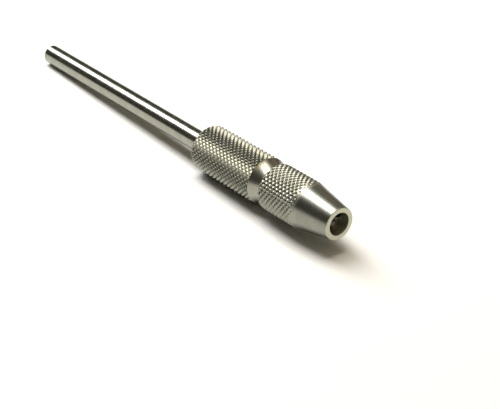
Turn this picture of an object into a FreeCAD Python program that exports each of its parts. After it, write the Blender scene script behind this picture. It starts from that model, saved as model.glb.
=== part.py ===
"""Pin vise drill: a hollow shank in a knurled grip, and a screwed nose nut that closes a four-jaw collet.

Millimetres. X is the tool's axis, with the origin at the centre of the collet's mouth and +X pointing out of the nose.
The tool lies on the crests of its two knurled bands, with +Z up. Axial places are x values, falling towards the tail.
"""
import FreeCAD, Part
import math
import os

# Overall
overall_length = 91.0

# Shank, a straight drawn tube
shank_radius = 1.95
passage_radius = 1.25  # wire and long drills reach back through the whole tool
shank_end_chamfer = 0.25
tenon_radius = 1.7  # turned down behind the shoulder that meets the grip, and pressed in
tenon_length = 9.0

# Collet
jaw_count = 4
jaw_slit = 0.55
jaw_length = 14.25
jaw_head_radius = 2.6
jaw_head_length = 4.75
jaw_cone_angle = 10.0  # half angle, degrees
grip_bore_radius = 1.2
grip_bore_length = 5.75
jaw_mouth_chamfer = 0.3
stem_radius = 1.85
stem_bore_radius = 1.45
sleeve_length = 2.5

# Nose nut
nut_length = 16.6
skirt_wall = 0.9  # from the skirt's bore to the knurl's crests
nose_cone_length = 8.8
nose_bore_radius = 2.11
nose_wall = 0.91  # from the bore to the cone, carried on to the front face
nose_edge_round = 0.16
nose_bore_length = 2.2  # from the front face back to the shoulder that pushes the collet
nose_bore_chamfer = 0.06
nut_rear_chamfer = 0.15

# Grip and its coved neck
grip_length = 16.7
grip_rear_chamfer = 0.35
neck_length = 2.9  # from the knurled grip to the nut's rear face
cove_radius = 5.0
collar_step = 0.2  # the plain collar, which the nut's skirt runs over, stands this proud of the thread
collar_overlap = 1.6  # the part of the collar inside the skirt at rest

# Screw between grip and nut, drawn as plain cylinders
spigot_wall = 0.7  # outside the jaws' heads
spigot_setback = 1.0  # spigot's front face behind the start of the jaws' cone
spigot_front_chamfer = 0.2
thread_pitch = 0.5
thread_relief_depth = 0.45
thread_relief_length = 0.8
turns_to_tighten = 1.5

# Clearances
screw_clearance = 0.05
skirt_clearance = 0.1
head_clearance = 0.18  # the jaws' heads spring open into it
cone_clearance = 0.05
stem_clearance = 0.08
seat_gap = 0.05  # nut's shoulder to the jaws' front faces
root_gap = 0.03  # sleeve to the jaws' flexing roots
stop_gap = 0.15  # left at the end of every travel

# Along the axis, from the nose to the tail
tighten_travel = turns_to_tighten * thread_pitch
nose = nose_bore_length + seat_gap
nut_shoulder = nose - nose_bore_length
nose_cone_rear = nose - nose_cone_length
nut_rear = nose - nut_length
jaw_cone_front = -jaw_head_length
spigot_front = jaw_cone_front - spigot_setback
nut_thread_front = spigot_front + tighten_travel + 2 * stop_gap
collar_front = nut_rear + collar_overlap
nut_thread_rear = collar_front + tighten_travel + stop_gap
thread_rear = collar_front + thread_relief_length
sleeve_front = -jaw_length - root_gap
sleeve_rear = sleeve_front - sleeve_length
stem_bore_bottom = sleeve_rear - tighten_travel - 2 * stop_gap
grip_front = nut_rear - neck_length
grip_rear = grip_front - grip_length
socket_bottom = grip_rear + tenon_length
tail = nose - overall_length

# Across it
cone_slope = math.tan(math.radians(jaw_cone_angle))
jaw_cone_rear = jaw_cone_front - (jaw_head_radius - stem_radius) / cone_slope
thread_radius = jaw_head_radius + spigot_wall
collar_radius = thread_radius + collar_step
skirt_radius = collar_radius + skirt_clearance
band_radius = skirt_radius + skirt_wall  # crests of both knurled bands, which the tool lies on
nose_radius = nose_bore_radius + nose_wall
chamber_radius = jaw_head_radius + head_clearance

AXIS = FreeCAD.Vector(1, 0, 0)
CENTRE = FreeCAD.Vector(0, 0, 0)


def point(x, radius):
    return FreeCAD.Vector(x, 0, radius)


def turned(outline):
    """The solid turned about X by a closed outline of (x, radius) points, where (x, radius, mid) ends an arc."""
    edges = []
    start = point(*outline[0][:2])
    for x, radius, *through in outline[1:] + outline[:1]:
        end = point(x, radius)
        if through:
            edges.append(Part.Arc(start, point(*through[0]), end).toShape())
        else:
            edges.append(Part.makeLine(start, end))
        start = end
    return Part.Face(Part.Wire(edges)).revolve(CENTRE, AXIS, 360)


def shank_tube():
    return turned(
        [
            (tail, passage_radius),
            (tail, shank_radius - shank_end_chamfer),
            (tail + shank_end_chamfer, shank_radius),
            (grip_rear, shank_radius),
            (grip_rear, tenon_radius),
            (socket_bottom, tenon_radius),
            (socket_bottom, passage_radius),
        ]
    )


def knurled_grip():
    # The cove is one arc, from the knurled band's corner down to the collar, which it meets smoothly.
    cove_turn = math.acos(1 - (band_radius - collar_radius) / cove_radius)
    cove_end = grip_front + cove_radius * math.sin(cove_turn)
    cove_middle = (
        cove_end - cove_radius * math.sin(cove_turn / 2),
        collar_radius + cove_radius * (1 - math.cos(cove_turn / 2)),
    )
    # The seat lies cone_clearance outside the jaws' cone, down to the bore that the stem slides in.
    mouth_radius = jaw_head_radius - spigot_setback * cone_slope + cone_clearance
    stem_seat_radius = stem_radius + stem_clearance
    seat_rear = spigot_front - (mouth_radius - stem_seat_radius) / cone_slope
    relief_radius = thread_radius - thread_relief_depth
    return turned(
        [
            (grip_rear, tenon_radius),
            (grip_rear, band_radius - grip_rear_chamfer),
            (grip_rear + grip_rear_chamfer, band_radius),
            (grip_front, band_radius),
            (cove_end, collar_radius, cove_middle),
            (collar_front, collar_radius),
            (collar_front, relief_radius),
            (thread_rear, relief_radius),
            (thread_rear, thread_radius),
            (spigot_front - spigot_front_chamfer, thread_radius),
            (spigot_front, thread_radius - spigot_front_chamfer),
            (spigot_front, mouth_radius),
            (seat_rear, stem_seat_radius),
            (stem_bore_bottom, stem_seat_radius),
            (stem_bore_bottom, passage_radius),
            (socket_bottom, passage_radius),
            (socket_bottom, tenon_radius),
        ]
    )


def nose_nut():
    # The front edge is rounded by an arc that is tangent to the front face and to the cone.
    cone_lean = math.atan((band_radius - nose_radius) / nose_cone_length)
    edge_turn = math.pi / 2 - cone_lean
    tangent = nose_edge_round * math.tan(edge_turn / 2)
    face_radius = nose_radius - tangent
    edge_middle = (
        nose - nose_edge_round * (1 - math.cos(edge_turn / 2)),
        face_radius + nose_edge_round * math.sin(edge_turn / 2),
    )
    screw_radius = thread_radius + screw_clearance
    return turned(
        [
            (nut_rear, skirt_radius),
            (nut_rear, band_radius - nut_rear_chamfer),
            (nut_rear + nut_rear_chamfer, band_radius),
            (nose_cone_rear, band_radius),
            (nose - tangent * math.cos(cone_lean), nose_radius + tangent * math.sin(cone_lean)),
            (nose, face_radius, edge_middle),
            (nose, nose_bore_radius + nose_bore_chamfer),
            (nose - nose_bore_chamfer, nose_bore_radius),
            (nut_shoulder, nose_bore_radius),
            (nut_shoulder, chamber_radius),
            (nut_thread_front, chamber_radius),
            (nut_thread_front, screw_radius),
            (nut_thread_rear, screw_radius),
            (nut_thread_rear, skirt_radius),
        ]
    )


def collet_sleeve():
    return turned(
        [
            (sleeve_rear, stem_bore_radius),
            (sleeve_rear, stem_radius),
            (sleeve_front, stem_radius),
            (sleeve_front, stem_bore_radius),
        ]
    )


def collet_jaws():
    """The sprung jaws, which crossed slits part from one turned blank; the first looks up and to +Y."""
    blank = turned(
        [
            (-jaw_length, stem_bore_radius),
            (-jaw_length, stem_radius),
            (jaw_cone_rear, stem_radius),
            (jaw_cone_front, jaw_head_radius),
            (0, jaw_head_radius),
            (0, grip_bore_radius + jaw_mouth_chamfer),
            (-jaw_mouth_chamfer, grip_bore_radius),
            (-grip_bore_length, grip_bore_radius),
            (-grip_bore_length, stem_bore_radius),
        ]
    )
    reach = 2 * jaw_head_radius
    jaws = []
    for number in range(jaw_count):
        quarter = Part.makeBox(
            2 * jaw_length, reach, reach, FreeCAD.Vector(-1.5 * jaw_length, jaw_slit / 2, jaw_slit / 2)
        )
        quarter.rotate(CENTRE, AXIS, 360 / jaw_count * number)
        jaws.append(blank.common(quarter))
    return jaws


def main():
    os.makedirs("parts", exist_ok=True)
    nodes = {
        "shank_tube": shank_tube(),
        "knurled_grip": knurled_grip(),
        "nose_nut": nose_nut(),
        "collet_sleeve": collet_sleeve(),
    }
    for number, jaw in enumerate(collet_jaws(), 1):
        nodes[f"collet_jaw_{number}"] = jaw
    for name, shape in nodes.items():
        shape.exportStep(f"parts/{name}.step")
        print(f"{name}: {len(shape.Solids)} solid, {shape.Volume:.2f} mm3, valid {shape.isValid()}")


if __name__ == "__main__":
    main()
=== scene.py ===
"""Pin vise drill: nickel-plated steel on a white table, with real knurling on the grip and the nose nut.

Sizes are in millimetres until a mesh is made. X is the tool's axis and +X points out of the nose.
"""
import math

import bpy
import numpy as np
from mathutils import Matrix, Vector


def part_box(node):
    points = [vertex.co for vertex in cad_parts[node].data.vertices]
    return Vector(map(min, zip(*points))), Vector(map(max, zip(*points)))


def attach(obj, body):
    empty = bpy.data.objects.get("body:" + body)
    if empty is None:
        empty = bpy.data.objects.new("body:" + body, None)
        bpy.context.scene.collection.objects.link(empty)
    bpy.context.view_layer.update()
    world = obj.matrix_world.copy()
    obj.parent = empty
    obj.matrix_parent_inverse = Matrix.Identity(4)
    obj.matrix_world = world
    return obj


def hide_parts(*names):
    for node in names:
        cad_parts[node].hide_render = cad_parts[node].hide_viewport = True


MM = 0.001
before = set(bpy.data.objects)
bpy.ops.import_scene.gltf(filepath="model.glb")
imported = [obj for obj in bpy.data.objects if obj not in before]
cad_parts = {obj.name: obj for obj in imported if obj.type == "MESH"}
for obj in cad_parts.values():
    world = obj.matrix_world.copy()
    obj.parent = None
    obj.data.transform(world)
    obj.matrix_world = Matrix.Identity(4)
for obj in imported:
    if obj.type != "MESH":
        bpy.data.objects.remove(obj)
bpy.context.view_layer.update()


def node_span(node):
    """Where a node starts and ends along the tool's axis, and its largest radius."""
    low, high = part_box(node)
    return low[0] / MM, high[0] / MM, high[2] / MM


TAIL, SOCKET_BOTTOM, SHANK_RADIUS = node_span("shank_tube")
GRIP_REAR, SPIGOT_FRONT, BAND_RADIUS = node_span("knurled_grip")
NUT_REAR, NOSE, _ = node_span("nose_nut")

# Insides, as the frame has them
PASSAGE_RADIUS = 1.25
TENON_RADIUS = 1.7
NOSE_BORE_RADIUS = 2.11
NOSE_BORE_REAR = NOSE - 2.2
CHAMBER_RADIUS = 2.78
NUT_THREAD_FRONT = -4.7
NUT_THREAD_REAR = -11.85
NUT_THREAD_RADIUS = 3.35
SKIRT_RADIUS = 3.6
COLLAR_FRONT = -12.75
COLLAR_RADIUS = 3.5
THREAD_REAR = -11.95
THREAD_RADIUS = 3.3
RELIEF_RADIUS = 2.85
SPIGOT_CHAMFER = 0.2
SEAT_MOUTH_RADIUS = 2.474
SEAT_REAR = -8.83
STEM_BORE_RADIUS = 1.93
STEM_BORE_BOTTOM = -17.83

# Outer shapes that the knurls and the turned surfaces follow
GRIP_FRONT = -17.25
GRIP_CHAMFER = 0.35
COVE_RADIUS = 5.0
CONE_REAR = NOSE - 8.8
CONE_TIP_RADIUS = 3.02
NOSE_ROUND = 0.16
NOSE_BORE_ROUND = 0.06
NUT_CHAMFER = 0.15
TAIL_ROUND = 0.32
PASSAGE_ROUND = 0.12

SHARP_ANGLE = 35  # degrees, past which an edge is shaded sharp

# Knurls: lines of each hand round the band, a diamond's pitch along the axis, depth, and steps to a diamond
GRIP_KNURL = {"starts": 28, "pitch": 1.05, "depth": 0.25, "steps": 10}
NUT_KNURL = {"starts": 22, "pitch": 0.94, "depth": 0.3, "steps": 12}
GROOVE_HALF_WIDTH = 0.42  # of the grip's V grooves, as a share of the space from line to line
FINE_ROWS_END = CONE_REAR + 2.4  # the nut's fine rows run on down the cone, past its deepest pits
PITS_END = CONE_REAR + 1.8  # the cone has cut the last of them away by here

# Colours; in a pair, clean comes first and stained or worn second
KNURLED_NICKEL = ((0.35, 0.353, 0.3), (0.3, 0.3, 0.245))
# a darker copy of the plate for the plain cone: painted shade for the dark room it reflects
CONE_NICKEL_PAINTED_SHADE = ((0.28, 0.283, 0.245), (0.24, 0.24, 0.2))
POLISHED_NICKEL = ((0.33, 0.332, 0.28), (0.28, 0.28, 0.23))
BARE_STEEL = ((0.34, 0.33, 0.30), (0.2, 0.19, 0.165))
SHEET_WHITE = ((0.86, 0.86, 0.855), (0.83, 0.83, 0.825))
# paler plate for the nut's cut front face and its bore, partly painted light on the face and on the bore's
# wall
FACED_NICKEL_AND_PAINTED_LIGHT = (0.53, 0.53, 0.42)
# darker colour laid deep in the knurl's grooves
KNURL_DEPTH_DARK = (0.045, 0.04, 0.025)

# Lights and room
LIGHT_HEIGHT = 620
STRIP_WATTS = 10.3
STRIP_END_WATTS = 1.9
CEILING_WATTS = 1.1
WALL_WATTS = 0.26
WHITE = (1, 1, 1)
PALE_WARM = (1, 0.93, 0.8)
CEILING_WARM = (1, 0.8, 0.55)
WALL_WARM = (1, 0.82, 0.58)
ROOM_DARK = (0.05, 0.05, 0.04)

# Camera: its place from the nose, in radii of the knurled bands, and the way it looks
CAMERA_FROM_NOSE = (36.14, -32.93, 28.18)
CAMERA_LOOKS = (-0.68347, 0.54210, -0.48887)
CAMERA_LENS = 108.4
CAMERA_SENSOR = 36


# Meshes


def arc(middle, radius, start, end, steps):
    """Points on an arc about (x, radius) middle, from one angle in degrees to another."""
    turns = np.radians(np.linspace(start, end, steps + 1))
    return [(middle[0] + radius * math.cos(t), middle[1] + radius * math.sin(t)) for t in turns]


def eased(before, corner, after, radius, steps=4):
    """Points of the small round that takes the sharpness off a corner between two straight runs."""
    before, corner, after = (np.array(p, float) for p in (before, corner, after))
    back = (before - corner) / np.linalg.norm(before - corner)
    on = (after - corner) / np.linalg.norm(after - corner)
    half = math.acos(float(back @ on)) / 2
    reach = radius / math.tan(half)
    points = []
    for share in np.linspace(0, 1, steps + 1):
        a = corner + back * reach * (1 - share) ** 2
        points.append(tuple(a + on * reach * share**2))
    return points


def along(start, end, step):
    """Points from start to end on a straight run, about step apart, with both ends."""
    count = max(1, round(math.dist(start, end) / step))
    return [tuple(p) for p in np.linspace(start, end, count + 1)]


def split_quad(corners, flip):
    """A quad as two triangles, cut from its first corner, or with flip from its second."""
    a, b, c, d = corners
    if flip:
        return [(a, b, d), (b, c, d)]
    return [(a, b, c), (a, c, d)]


def lathe(name, outline, segments, relief=None):
    """A closed mesh turned about X by an outline of (x, radius), which relief(x, angle, radius) cuts back."""
    rows = np.array(outline, float)
    angles = np.arange(segments) * 2 * math.pi / segments
    x = np.repeat(rows[:, :1], segments, axis=1)
    radius = np.repeat(rows[:, 1:], segments, axis=1)
    if relief:
        radius = relief(x, np.broadcast_to(angles, x.shape), radius)
    points = np.stack([x, radius * np.sin(angles), radius * np.cos(angles)], axis=2).reshape(-1, 3) * MM
    faces = []
    for row in range(len(rows)):
        here = row * segments
        there = (row + 1) % len(rows) * segments
        for i in range(segments):
            j = (i + 1) % segments
            corners = (here + i, here + j, there + j, there + i)
            if relief:
                faces += split_quad(corners, (row + i) % 2 == 1)
            else:
                faces.append(corners)
    mesh = bpy.data.meshes.new(name)
    mesh.from_pydata(points.tolist(), [], faces)
    mesh.polygons.foreach_set("use_smooth", [True] * len(mesh.polygons))
    mesh.set_sharp_from_angle(angle=math.radians(SHARP_ANGLE))
    mesh.update()
    piece = bpy.data.objects.new(name, mesh)
    bpy.context.scene.collection.objects.link(piece)
    return piece


def groove_places(x, angle, knurl, start):
    """A point's place across the rolled lines of each hand, counted in lines."""
    across = knurl["starts"] * angle / (2 * math.pi)
    down = (x - start) / knurl["pitch"]
    return across + down, across - down


def grip_relief(x, angle, radius):
    """V grooves on the lines, which cross and leave raised diamonds with small worn tops."""
    one, other = groove_places(x, angle, GRIP_KNURL, GRIP_REAR)
    distance = np.minimum(abs(one - np.round(one)), abs(other - np.round(other)))
    groove = GRIP_KNURL["depth"] * (1 - np.clip(distance / GROOVE_HALF_WIDTH, 0, 1))
    in_band = (x > GRIP_REAR - 0.01) & (x < GRIP_FRONT + 0.02)
    return np.where(in_band, np.minimum(radius, BAND_RADIUS - groove), radius)


def nut_relief(x, angle, radius):
    """Rounded pits between ridges on the lines; the cone, turned later, keeps the deepest at its start."""
    one, other = groove_places(x, angle, NUT_KNURL, NUT_REAR)
    one, other = (1 - np.cos(2 * math.pi * np.stack([one, other]))) / 2
    fall = 0.25 * (one + other)
    hollow = 0.5 * (one * other) ** 0.7
    pit = NUT_KNURL["depth"] * (fall + hollow)
    in_band = radius > BAND_RADIUS - NUT_KNURL["depth"] - 0.02
    return np.where(in_band, np.minimum(radius, BAND_RADIUS - pit), radius)


def make_shank():
    """The polished tube, with a lightly rounded tail."""
    rim = (TAIL, SHANK_RADIUS)
    mouth = (TAIL, PASSAGE_RADIUS)
    shoulder = (GRIP_REAR, SHANK_RADIUS)
    passage_end = (SOCKET_BOTTOM, PASSAGE_RADIUS)
    outline = eased(passage_end, mouth, rim, PASSAGE_ROUND)
    outline += eased(mouth, rim, shoulder, TAIL_ROUND, 8)
    outline += along((TAIL + 1.25 * TAIL_ROUND, SHANK_RADIUS), shoulder, 4)
    outline += [(GRIP_REAR, TENON_RADIUS), (SOCKET_BOTTOM, TENON_RADIUS), passage_end]
    return lathe("shank_tube_visual", outline, 160)


def make_grip():
    """The knurled grip with its coved neck, and the spigot inside the nut."""
    step = GRIP_KNURL["pitch"] / GRIP_KNURL["steps"]
    chamfer_start = BAND_RADIUS - GRIP_CHAMFER
    outline = [(GRIP_REAR, TENON_RADIUS), (GRIP_REAR, chamfer_start - 0.3), (GRIP_REAR, chamfer_start)]
    for x in np.arange(GRIP_REAR + step, GRIP_FRONT, step):
        outline.append((x, min(BAND_RADIUS, chamfer_start + x - GRIP_REAR)))
    outline += [(GRIP_FRONT, BAND_RADIUS)]
    cove_turn = math.acos(1 - (BAND_RADIUS - COLLAR_RADIUS) / COVE_RADIUS)
    cove_centre = (GRIP_FRONT + COVE_RADIUS * math.sin(cove_turn), COLLAR_RADIUS + COVE_RADIUS)
    outline += arc(cove_centre, COVE_RADIUS, 270 - math.degrees(cove_turn), 270, 32)
    outline += [
        (COLLAR_FRONT, COLLAR_RADIUS),
        (COLLAR_FRONT, RELIEF_RADIUS),
        (THREAD_REAR, RELIEF_RADIUS),
        (THREAD_REAR, THREAD_RADIUS),
        (SPIGOT_FRONT - SPIGOT_CHAMFER, THREAD_RADIUS),
        (SPIGOT_FRONT, THREAD_RADIUS - SPIGOT_CHAMFER),
        (SPIGOT_FRONT, SEAT_MOUTH_RADIUS),
        (SEAT_REAR, STEM_BORE_RADIUS),
        (STEM_BORE_BOTTOM, STEM_BORE_RADIUS),
        (STEM_BORE_BOTTOM, PASSAGE_RADIUS),
        (SOCKET_BOTTOM, PASSAGE_RADIUS),
        (SOCKET_BOTTOM, TENON_RADIUS),
    ]
    return lathe("knurled_grip_visual", outline, GRIP_KNURL["starts"] * GRIP_KNURL["steps"], grip_relief)


def cone_radius(x):
    """The nut's cone at x, carried on past both its ends."""
    slope = (BAND_RADIUS - CONE_TIP_RADIUS) / (NOSE - CONE_REAR)
    return CONE_TIP_RADIUS + slope * (NOSE - x)


def make_nut():
    """The nose nut: knurled behind, then a plain cone, a rounded front edge and the bore."""
    step = NUT_KNURL["pitch"] / NUT_KNURL["steps"]
    chamfer_start = BAND_RADIUS - NUT_CHAMFER
    outline = [(NUT_REAR, SKIRT_RADIUS), (NUT_REAR, chamfer_start)]
    for x in np.arange(NUT_REAR + step, FINE_ROWS_END, step):
        outline.append((x, min(BAND_RADIUS, chamfer_start + x - NUT_REAR, cone_radius(x))))
    plain_cone = [(x, cone_radius(x)) for x in (FINE_ROWS_END + 0.1, NOSE - 2.5 * NOSE_ROUND)]
    outline += along(*plain_cone, 0.6)
    tip = (NOSE, CONE_TIP_RADIUS)
    face_edge = (NOSE, NOSE_BORE_RADIUS)
    bore_rear = (NOSE_BORE_REAR, NOSE_BORE_RADIUS)
    outline += eased(outline[-1], tip, face_edge, NOSE_ROUND, 8)
    outline += eased(tip, face_edge, bore_rear, NOSE_BORE_ROUND)
    outline += [
        bore_rear,
        (NOSE_BORE_REAR, CHAMBER_RADIUS),
        (NUT_THREAD_FRONT, CHAMBER_RADIUS),
        (NUT_THREAD_FRONT, NUT_THREAD_RADIUS),
        (NUT_THREAD_REAR, NUT_THREAD_RADIUS),
        (NUT_THREAD_REAR, SKIRT_RADIUS),
    ]
    return lathe("nose_nut_visual", outline, NUT_KNURL["starts"] * NUT_KNURL["steps"], nut_relief)


# Materials


class Shader:
    """A material's node tree, with short calls for the nodes that the finishes share.

    place is the point in millimetres, x its place along the axis, and radius its distance from the axis.
    """

    def __init__(self, name):
        self.material = bpy.data.materials.new(name)
        self.material.use_nodes = True
        self.tree = self.material.node_tree
        self.surface = self.tree.nodes["Principled BSDF"]
        place = self.tree.nodes.new("ShaderNodeTexCoord")
        split = self.tree.nodes.new("ShaderNodeSeparateXYZ")
        self.place = self.scaled(place.outputs["Object"], (1 / MM,) * 3)
        self.tree.links.new(self.place, split.inputs[0])
        self.x, y, z = split.outputs
        square = self.math("ADD", self.math("MULTIPLY", y, y), self.math("MULTIPLY", z, z))
        self.radius = self.math("SQRT", square)

    def put(self, value, socket):
        """Links value to the socket if it is another node's output, and otherwise sets the socket to it."""
        if isinstance(value, bpy.types.NodeSocket):
            self.tree.links.new(value, socket)
        else:
            socket.default_value = value

    def scaled(self, vector, scale):
        node = self.tree.nodes.new("ShaderNodeVectorMath")
        node.operation = "MULTIPLY"
        self.put(vector, node.inputs[0])
        node.inputs[1].default_value = scale
        return node.outputs[0]

    def math(self, operation, a, b=0.0):
        node = self.tree.nodes.new("ShaderNodeMath")
        node.operation = operation
        self.put(a, node.inputs[0])
        self.put(b, node.inputs[1])
        return node.outputs[0]

    def ramp(self, value, low, high, start=0.0, end=1.0):
        """value from low to high, turned into start to end and held there beyond."""
        node = self.tree.nodes.new("ShaderNodeMapRange")
        self.put(value, node.inputs["Value"])
        for name, number in zip(("From Min", "From Max", "To Min", "To Max"), (low, high, start, end)):
            self.put(number, node.inputs[name])
        return node.outputs["Result"]

    def noise(self, vector, scale, detail=4.0, rough=0.55):
        node = self.tree.nodes.new("ShaderNodeTexNoise")
        self.put(vector, node.inputs["Vector"])
        node.inputs["Scale"].default_value = scale
        node.inputs["Detail"].default_value = detail
        node.inputs["Roughness"].default_value = rough
        return node.outputs["Fac"]

    def mix(self, share, a, b):
        """Colour a where share is 0 and colour b where it is 1."""
        node = self.tree.nodes.new("ShaderNodeMix")
        node.data_type = "RGBA"
        self.put(share, node.inputs["Factor"])
        for value, name in ((a, "A"), (b, "B")):
            socket = next(s for s in node.inputs if s.name == name and s.type == "RGBA")
            self.put(value if isinstance(value, bpy.types.NodeSocket) else (*value, 1), socket)
        return next(s for s in node.outputs if s.type == "RGBA")

    def bump(self, height, distance_mm, strength=1.0, under=None):
        """A normal raised by height, on top of the normal under where one is given."""
        node = self.tree.nodes.new("ShaderNodeBump")
        node.inputs["Strength"].default_value = strength
        node.inputs["Distance"].default_value = distance_mm * MM
        self.put(height, node.inputs["Height"])
        if under:
            self.put(under, node.inputs["Normal"])
        return node.outputs["Normal"]

    def rings(self, scale):
        """Tool marks that run round the axis, on cylinders, cones and end faces alike."""
        node = self.tree.nodes.new("ShaderNodeCombineXYZ")
        self.put(self.x, node.inputs[0])
        self.put(self.radius, node.inputs[1])
        return self.noise(node.outputs[0], scale, 3.0, 0.7)

    def finish(self, colour, roughness, normal, metallic=1.0):
        self.put(colour, self.surface.inputs["Base Color"])
        self.put(roughness, self.surface.inputs["Roughness"])
        self.put(normal, self.surface.inputs["Normal"])
        self.surface.inputs["Metallic"].default_value = metallic
        return self.material


def satin_plate(name, knurl_from, knurl_to, knurl_roughness):
    """Satin nickel plate over turned and knurled steel, with tool marks, stains, darker colour deep in the
    knurl, painted shade on the cone and painted light on the nut's face and bore.
    """
    s = Shader(name)
    stain = s.ramp(s.noise(s.place, 0.35, 5.0, 0.6), 0.35, 0.7)
    grain = s.noise(s.place, 9.0, 3.0, 0.6)
    # The colour darkens deep in the knurled band, measured from the band's crests or from the cone.
    crests = s.ramp(s.x, CONE_REAR, NOSE, BAND_RADIUS, CONE_TIP_RADIUS)
    depth = s.math("SUBTRACT", crests, s.radius)
    ahead = s.ramp(s.x, knurl_from - 0.02, knurl_from)
    behind = s.ramp(s.x, knurl_to + 0.02, knurl_to)
    in_band = s.math("MULTIPLY", ahead, behind)
    groove_darkening = s.math("MULTIPLY", in_band, s.ramp(depth, 0.14, 0.27))
    # The cone gets a darker copy of the plate, painted shade for the dark room it reflects; the nut's cut
    # front face and its bore are paler, partly painted light.
    knurled = s.mix(stain, *KNURLED_NICKEL)
    shaded_cone = s.mix(stain, *CONE_NICKEL_PAINTED_SHADE)
    clean = s.mix(s.ramp(s.x, CONE_REAR + 1.0, CONE_REAR + 2.4), knurled, shaded_cone)
    # painted light: the bore's wall made paler, as if lit
    lit_bore = s.ramp(s.radius, NOSE_BORE_RADIUS + 0.3, NOSE_BORE_RADIUS + 0.1)
    faced_and_lit = s.math("MAXIMUM", s.ramp(s.x, NOSE - 0.12, NOSE - 0.03), lit_bore)
    plated = s.mix(faced_and_lit, clean, FACED_NICKEL_AND_PAINTED_LIGHT)
    colour = s.mix(s.math("MULTIPLY", groove_darkening, 0.92), plated, KNURL_DEPTH_DARK)
    rolled = s.math("MULTIPLY", in_band, knurl_roughness)
    cut = s.math("MULTIPLY", faced_and_lit, 0.12)
    roughness = s.math("ADD", s.ramp(grain, 0.3, 0.7, 0.26, 0.36), s.math("MAXIMUM", rolled, cut))
    lines = s.bump(s.rings(14.0), 0.004, 0.35)
    pits = s.bump(grain, 0.01, 0.3, lines)
    return s.finish(colour, roughness, pits)


def polished_plate():
    """The bright drawn shank: fine draw lines along it, faint fingermarks and a few scuffs."""
    s = Shader("polished_plate")
    marks = s.ramp(s.noise(s.place, 0.5, 5.0, 0.65), 0.4, 0.7)
    lines = s.noise(s.scaled(s.place, (0.05, 1, 1)), 30.0, 3.0, 0.6)
    scuffs = s.ramp(s.noise(s.scaled(s.place, (1, 0.4, 0.4)), 3.0, 6.0, 0.7), 0.62, 0.75)
    colour = s.mix(marks, *POLISHED_NICKEL)
    roughness = s.math("ADD", s.ramp(marks, 0, 1, 0.2, 0.28), s.math("MULTIPLY", scuffs, 0.12))
    return s.finish(colour, roughness, s.bump(lines, 0.002, 0.3))


def spring_steel():
    """Bare hardened steel, dark and lightly oiled, with grinding marks."""
    s = Shader("spring_steel")
    patches = s.ramp(s.noise(s.place, 1.2, 4.0, 0.6), 0.35, 0.7)
    colour = s.mix(patches, *BARE_STEEL)
    roughness = s.ramp(patches, 0, 1, 0.24, 0.4)
    return s.finish(colour, roughness, s.bump(s.rings(10.0), 0.006, 0.4))


def table_white():
    """A matt white sheet with the faintest unevenness."""
    s = Shader("table_white")
    mottle = s.ramp(s.noise(s.place, 0.02, 3.0), 0.3, 0.7)
    colour = s.mix(mottle, *SHEET_WHITE)
    roughness = s.ramp(mottle, 0, 1, 0.65, 0.75)
    return s.finish(colour, roughness, s.bump(s.noise(s.place, 1.5), 0.02, 0.1), metallic=0.0)


# Stage


def make_floor():
    """A plain pale sheet that the tail and the grip's rear edge rest on, with the nose a little off it."""
    half = 3000
    slope = (BAND_RADIUS - SHANK_RADIUS) / (TAIL - GRIP_REAR)
    corners = []
    for x, y in ((-half, -half), (half, -half), (half, half), (-half, half)):
        corners.append((x, y, slope * (x - GRIP_REAR) - BAND_RADIUS))
    mesh = bpy.data.meshes.new("table")
    mesh.from_pydata([tuple(c * MM for c in corner) for corner in corners], [], [(0, 1, 2, 3)])
    table = bpy.data.objects.new("table", mesh)
    bpy.context.scene.collection.objects.link(table)
    table.data.materials.append(table_white())


def aim(thing, place, target):
    thing.location = Vector(place) * MM
    thing.rotation_euler = (Vector(target) - Vector(place)).to_track_quat("-Z", "Y").to_euler()


def area_light(name, place, target, width, height, watts, colour):
    light = bpy.data.lights.new(name, "AREA")
    light.shape = "RECTANGLE"
    light.size = width * MM
    light.size_y = height * MM
    light.energy = watts
    light.color = colour
    lamp = bpy.data.objects.new(name, light)
    bpy.context.scene.collection.objects.link(lamp)
    aim(lamp, place, target)


def overhead_light(name, x, y, size_y, size_x, watts, colour):
    """A sheet of light that faces down; its target lies a touch ahead, which lays its sides along X and Y."""
    area_light(name, (x, y, LIGHT_HEIGHT), (x + 1, y, 0), size_y, size_x, watts, colour)


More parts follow.
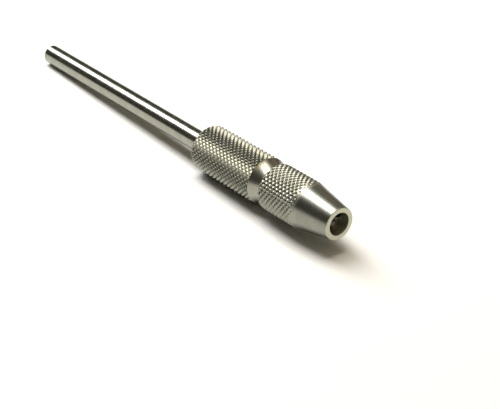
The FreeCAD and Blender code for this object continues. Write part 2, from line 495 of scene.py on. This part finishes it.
def make_lights():
    """A long strip over the tool, its dimmer end over the nose, a dim ceiling ahead and a dim wall behind."""
    overhead_light("strip", -670, -42, 370, 1040, STRIP_WATTS, WHITE)
    overhead_light("strip_end", -20, 40, 370, 260, STRIP_END_WATTS, PALE_WARM)
    overhead_light("ceiling", 500, 0, 800, 800, CEILING_WATTS, CEILING_WARM)
    area_light("wall", (-150, 560, 330), (-25, 0, 0), 900, 300, WALL_WATTS, WALL_WARM)
    world = bpy.data.worlds.new("room")
    world.use_nodes = True
    world.node_tree.nodes["Background"].inputs["Color"].default_value = (*ROOM_DARK, 1)
    bpy.context.scene.world = world
    bpy.context.scene.view_settings.view_transform = "Standard"


def make_camera():
    """Looks down on the nose from the front right."""
    camera = bpy.data.objects.new("camera", bpy.data.cameras.new("camera"))
    bpy.context.scene.collection.objects.link(camera)
    camera.data.lens = CAMERA_LENS
    camera.data.sensor_width = CAMERA_SENSOR
    camera.data.clip_start = 0.01
    place = Vector((NOSE, 0, 0)) + Vector(CAMERA_FROM_NOSE) * BAND_RADIUS
    aim(camera, place, place + Vector(CAMERA_LOOKS))
    bpy.context.scene.camera = camera


# Assembly


def paint(piece, material):
    piece.data.materials.clear()
    piece.data.materials.append(material)


def make_tool():
    """The three plated pieces stand for their CAD nodes, and the collet's own nodes get bare steel."""
    shank = make_shank()
    grip = make_grip()
    nut = make_nut()
    paint(shank, polished_plate())
    paint(grip, satin_plate("satin_plate_grip", GRIP_REAR, GRIP_FRONT, 0.02))
    paint(nut, satin_plate("satin_plate_nut", NUT_REAR, PITS_END, 0.12))
    for piece, body, node, slot in (
        (shank, "grip", "shank_tube", "polished_plate"),
        (grip, "grip", "knurled_grip", "satin_plate"),
        (nut, "nut", "nose_nut", "satin_plate"),
    ):
        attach(piece, body)
        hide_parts(node)
    steel = spring_steel()
    for node in ["collet_sleeve"] + [f"collet_jaw_{number}" for number in range(1, 5)]:
        paint(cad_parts[node], steel)


make_camera()
make_floor()
make_lights()
make_tool()
